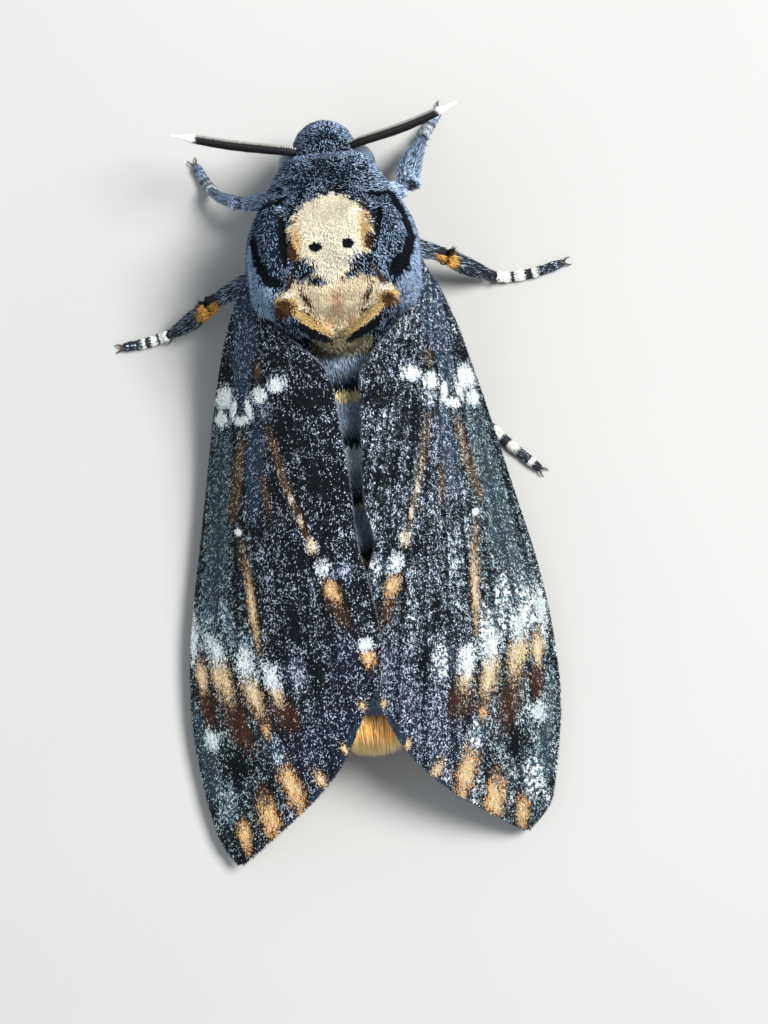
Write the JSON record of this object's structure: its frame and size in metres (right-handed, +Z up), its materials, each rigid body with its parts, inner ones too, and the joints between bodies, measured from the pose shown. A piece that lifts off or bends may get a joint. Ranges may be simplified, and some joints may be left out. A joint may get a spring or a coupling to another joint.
{
  "type": "hawkmoth",
  "caption": "Life-size model of a large hawkmoth at rest, furred and scaled, its wings folded like a roof and a pale skull-shaped mark on its back.",
  "frame": {"origin": "on the ground under the middle of the moth's bounding box", "axes": "+X towards the moth's left, +Y towards the tail so the head is at -Y, +Z up"},
  "size_m": [0.0462, 0.0732, 0.0163],
  "materials": {
    "dark_fur": "dense short blackish hair with pale blue-grey tips",
    "ochre_fur": "golden hair",
    "abdomen_bands": "short hair-like scales, yellow with dark rings and a blue-grey stripe",
    "eye": "fine facets with a soft shine",
    "feeler": "ribbed, with a white tip",
    "horn": "smooth dark brown horn",
    "leg_fur": "short blue-grey hair, black feet with white rings",
    "forewing_scales": "matt overlapping scales, black with white powder and brown marks",
    "hindwing_scales": "matt overlapping scales, ochre with two dark bands"
  },
  "bodies": {
    "root": {"head": "dark_fur", "eye_left": "eye", "eye_right": "eye", "antenna_left": "feeler", "antenna_right": "feeler", "palp_left": "dark_fur", "palp_right": "dark_fur", "proboscis": "horn", "collar": "dark_fur", "thorax": "dark_fur", "tegula_left": "dark_fur", "tegula_right": "dark_fur", "scutellum": "ochre_fur", "abdomen_1": "abdomen_bands", "abdomen_2": "abdomen_bands", "abdomen_3": "abdomen_bands", "abdomen_4": "abdomen_bands", "abdomen_5": "abdomen_bands", "abdomen_6": "abdomen_bands", "abdomen_7": "abdomen_bands", "tail_tuft": "ochre_fur", "forewing_left": "forewing_scales", "forewing_right": "forewing_scales", "hindwing_left": "hindwing_scales", "hindwing_right": "hindwing_scales", "leg_front_left_femur": "leg_fur", "leg_front_left_tibia": "leg_fur", "leg_front_left_tarsus": "leg_fur", "claws_front_left": "horn", "leg_front_right_femur": "leg_fur", "leg_front_right_tibia": "leg_fur", "leg_front_right_tarsus": "leg_fur", "claws_front_right": "horn", "leg_middle_left_femur": "leg_fur", "leg_middle_left_tibia": "leg_fur", "leg_middle_left_tarsus": "leg_fur", "claws_middle_left": "horn", "leg_middle_right_femur": "leg_fur", "leg_middle_right_tibia": "leg_fur", "leg_middle_right_tarsus": "leg_fur", "claws_middle_right": "horn", "leg_hind_left_femur": "leg_fur", "leg_hind_left_tibia": "leg_fur", "leg_hind_left_tarsus": "leg_fur", "claws_hind_left": "horn", "leg_hind_right_femur": "leg_fur", "leg_hind_right_tibia": "leg_fur", "leg_hind_right_tarsus": "leg_fur", "claws_hind_right": "horn"}
  },
  "joints": []
}
